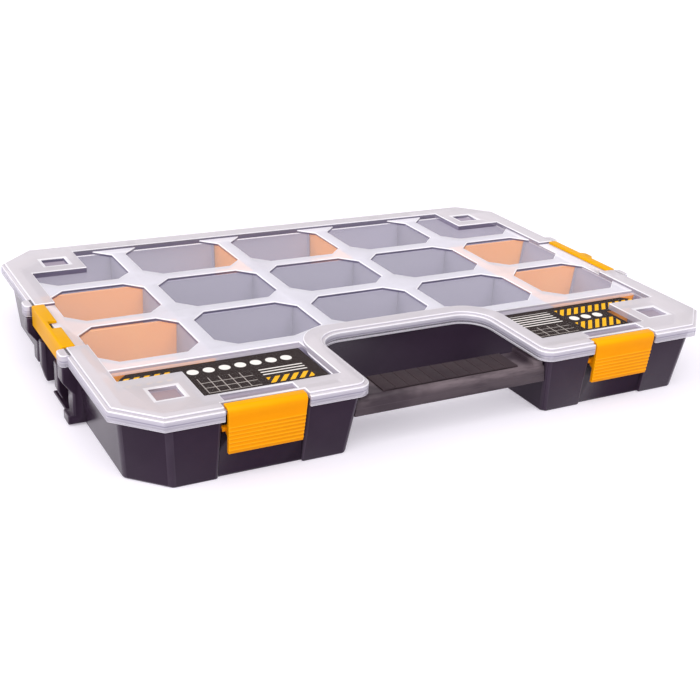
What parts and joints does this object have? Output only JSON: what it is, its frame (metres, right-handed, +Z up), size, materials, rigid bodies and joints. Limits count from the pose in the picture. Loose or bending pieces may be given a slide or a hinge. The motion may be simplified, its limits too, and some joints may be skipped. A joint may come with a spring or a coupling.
{
  "type": "craft organizer",
  "caption": "Flat carrying case with a hinged clear ribbed lid, snap latches, a handle bar in a front recess, and a dark tray of compartments with loose dividers.",
  "frame": {"origin": "on the floor under the middle of the case, on the flat underside of the tray", "axes": "+X to the right along the length, +Y to the hinge side at the back, +Z up; the handle is on the -Y side"},
  "size_m": [0.4214, 0.2982, 0.0466],
  "materials": {
    "tray_plastic": "fine matte moulded plastic, charcoal with a violet cast",
    "lid_plastic": "clear polypropylene, frosted on the rim and ribs",
    "divider_plastic": "satin orange plastic",
    "latch_plastic": "satin amber plastic",
    "grip_rubber": "soft matte rubber",
    "pin_steel": "drawn wire",
    "card_paper": null
  },
  "bodies": {
    "tray": {"tray": "tray_plastic", "column_wall_left": "tray_plastic", "cell_wall_back_left": "tray_plastic", "cell_wall_front_left": "tray_plastic", "front_wall_left": "tray_plastic", "column_wall_right": "tray_plastic", "cell_wall_back_right": "tray_plastic", "cell_wall_front_right": "tray_plastic", "front_wall_right": "tray_plastic", "row_wall_back": "tray_plastic", "row_wall_front": "tray_plastic", "divider_left_back": "divider_plastic", "divider_left_middle": "divider_plastic", "divider_left_front": "divider_plastic", "divider_right_back": "divider_plastic", "divider_right_middle": "divider_plastic", "divider_right_front": "divider_plastic", "divider_rear_left": "divider_plastic", "divider_rear_right": "divider_plastic", "handle_bar": "tray_plastic", "grip_pad": "grip_rubber", "hinge_pin_left": "pin_steel", "hinge_pin_right": "pin_steel"},
    "lid": {"lid": "lid_plastic", "contents_card_left": "card_paper", "contents_card_right": "card_paper"},
    "front_latch_left": {"front_latch_left": "latch_plastic"},
    "front_latch_right": {"front_latch_right": "latch_plastic"},
    "side_latch_left": {"side_latch_left": "latch_plastic"},
    "side_latch_right": {"side_latch_right": "latch_plastic"}
  },
  "joints": [
    {"name": "lid_hinge", "type": "hinge", "parent": "tray", "child": "lid", "pos_m": [0, 0.1494, 0.0406], "axis": [-1, 0, 0], "range_deg": [0, 110]},
    {"name": "front_latch_left_pivot", "type": "hinge", "parent": "tray", "child": "front_latch_left", "pos_m": [-0.124, -0.1376, 0.031], "axis": [1, 0, 0], "range_deg": [0, 22]},
    {"name": "front_latch_right_pivot", "type": "hinge", "parent": "tray", "child": "front_latch_right", "pos_m": [0.124, -0.1376, 0.031], "axis": [1, 0, 0], "range_deg": [0, 22]},
    {"name": "side_latch_left_pivot", "type": "hinge", "parent": "tray", "child": "side_latch_left", "pos_m": [-0.2043, 0, 0.0342], "axis": [0, -1, 0], "range_deg": [0, 90]},
    {"name": "side_latch_right_pivot", "type": "hinge", "parent": "tray", "child": "side_latch_right", "pos_m": [0.2043, 0, 0.0342], "axis": [0, 1, 0], "range_deg": [0, 90]}
  ]
}
